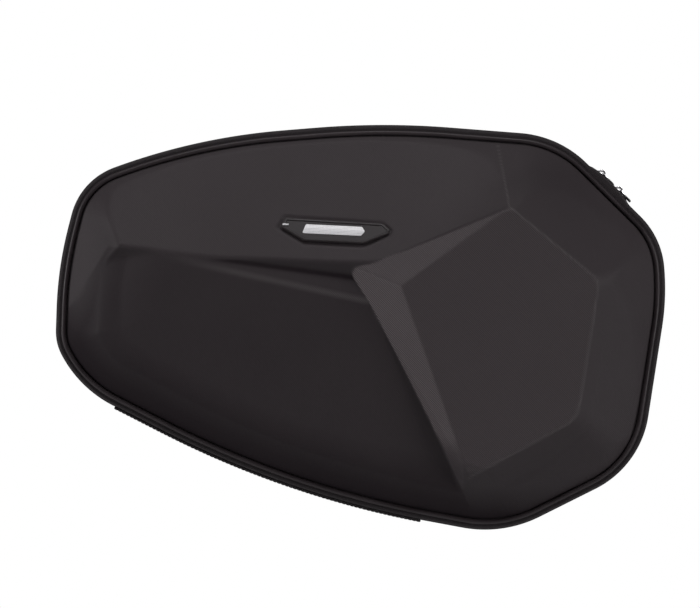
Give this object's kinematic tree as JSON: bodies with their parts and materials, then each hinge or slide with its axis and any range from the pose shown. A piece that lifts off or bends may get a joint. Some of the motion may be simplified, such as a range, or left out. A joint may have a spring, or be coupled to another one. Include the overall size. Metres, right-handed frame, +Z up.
{
  "type": "semi-rigid motorcycle saddlebag",
  "caption": "Semi-rigid motorcycle side bag: a faceted moulded lid on a zipped fabric case that expands, with carry handle, D-rings and seat strap keepers.",
  "frame": {"origin": "centre of the anti-slip pad's outer face, on the side that lies against the motorcycle", "axes": "+X towards the bag's deep rounded end, +Z up, +Y into the motorcycle; the moulded lid faces -Y"},
  "size_m": [0.4873, 0.1616, 0.3236],
  "materials": {
    "shell_fabric": "matte diagonal weave moulded over a semi-rigid shell",
    "case_fabric": "matte plain weave",
    "bellows_fabric": "thin matte plain weave",
    "lining": "smooth woven lining",
    "board": "matte",
    "grip_rubber": "matte, dotted",
    "piping": "satin",
    "elastic": "ribbed elastic webbing",
    "webbing": "ribbed nylon webbing",
    "hook_tape": "hook tape",
    "zip": "woven tape with a moulded chain",
    "mesh": "open knitted mesh",
    "steel": "satin nickel",
    "slider_metal": "polished",
    "puller_metal": "satin black",
    "badge_rubber": "satin",
    "reflector": "reflective film"
  },
  "bodies": {
    "rear_case": {"back_panel": "case_fabric", "back_board": "board", "antislip_pad": "grip_rubber", "rear_gusset": "case_fabric", "rear_piping": "piping", "rear_lining": "lining", "retention_strap_a": "elastic", "retention_strap_b": "elastic", "seat_strap_keeper_left": "webbing", "seat_strap_keeper_right": "webbing", "hook_patch": "hook_tape", "tie_down_loop_left": "webbing", "tie_down_loop_right": "webbing", "carry_handle": "webbing", "handle_patch_left": "case_fabric", "handle_patch_right": "case_fabric", "ring_tab_left": "webbing", "ring_tab_right": "webbing", "expansion_zip_rear": "zip", "expansion_bellows": "bellows_fabric", "expansion_slider": "slider_metal"},
    "ring_left": {"d_ring_left": "steel"},
    "ring_right": {"d_ring_right": "steel"},
    "expansion_puller": {"expansion_puller": "slider_metal"},
    "front_case": {"expansion_zip_front": "zip", "middle_gusset": "case_fabric", "main_zip_rear": "zip", "hinge_panel": "case_fabric"},
    "slider_a": {"main_slider_a": "slider_metal"},
    "puller_a": {"main_puller_a": "puller_metal"},
    "slider_b": {"main_slider_b": "slider_metal"},
    "puller_b": {"main_puller_b": "puller_metal"},
    "lid": {"main_zip_front": "zip", "lid_gusset": "case_fabric", "front_piping": "piping", "front_shell": "shell_fabric", "lid_lining": "lining", "mesh_pocket": "mesh", "pocket_hem": "elastic", "badge_plate": "badge_rubber", "badge_inlay": "reflector"}
  },
  "joints": [
    {"name": "expansion", "type": "slide", "parent": "rear_case", "child": "front_case", "axis": [0, -1, 0], "range_m": [0, 0.045], "deforming": ["expansion_bellows"]},
    {"name": "lid_hinge", "type": "hinge", "parent": "front_case", "child": "lid", "pos_m": [-0.07842, -0.087, -0.119], "axis": [0.9361, 0, -0.3518], "range_deg": [0, 170], "deforming": ["hinge_panel"]},
    {"name": "slider_a_travel", "type": "slide", "parent": "front_case", "child": "slider_a", "axis": [-0.7114, 0, 0.7028], "range_m": [0, 0.016]},
    {"name": "slider_b_travel", "type": "slide", "parent": "front_case", "child": "slider_b", "axis": [0.7114, 0, -0.7028], "range_m": [0, 0.025]},
    {"name": "puller_a_swing", "type": "hinge", "parent": "slider_a", "child": "puller_a", "pos_m": [0.19385, -0.087, 0.12321], "axis": [0, -1, 0], "range_deg": [0, 150]},
    {"name": "puller_b_swing", "type": "hinge", "parent": "slider_b", "child": "puller_b", "pos_m": [0.20737, -0.087, 0.10986], "axis": [0, -1, 0], "range_deg": [0, 150]},
    {"name": "expansion_puller_swing", "type": "hinge", "parent": "rear_case", "child": "expansion_puller", "pos_m": [0.16517, -0.063, -0.13907], "axis": [0, -1, 0], "range_deg": [0, 150]},
    {"name": "ring_left_swing", "type": "hinge", "parent": "rear_case", "child": "ring_left", "pos_m": [-0.15254, -0.03346, 0.13741], "axis": [0.9656, 0, 0.2602], "range_deg": [0, 120]},
    {"name": "ring_right_swing", "type": "hinge", "parent": "rear_case", "child": "ring_right", "pos_m": [0.19913, -0.03346, 0.10721], "axis": [0.7114, 0, -0.7028], "range_deg": [0, 120]}
  ]
}
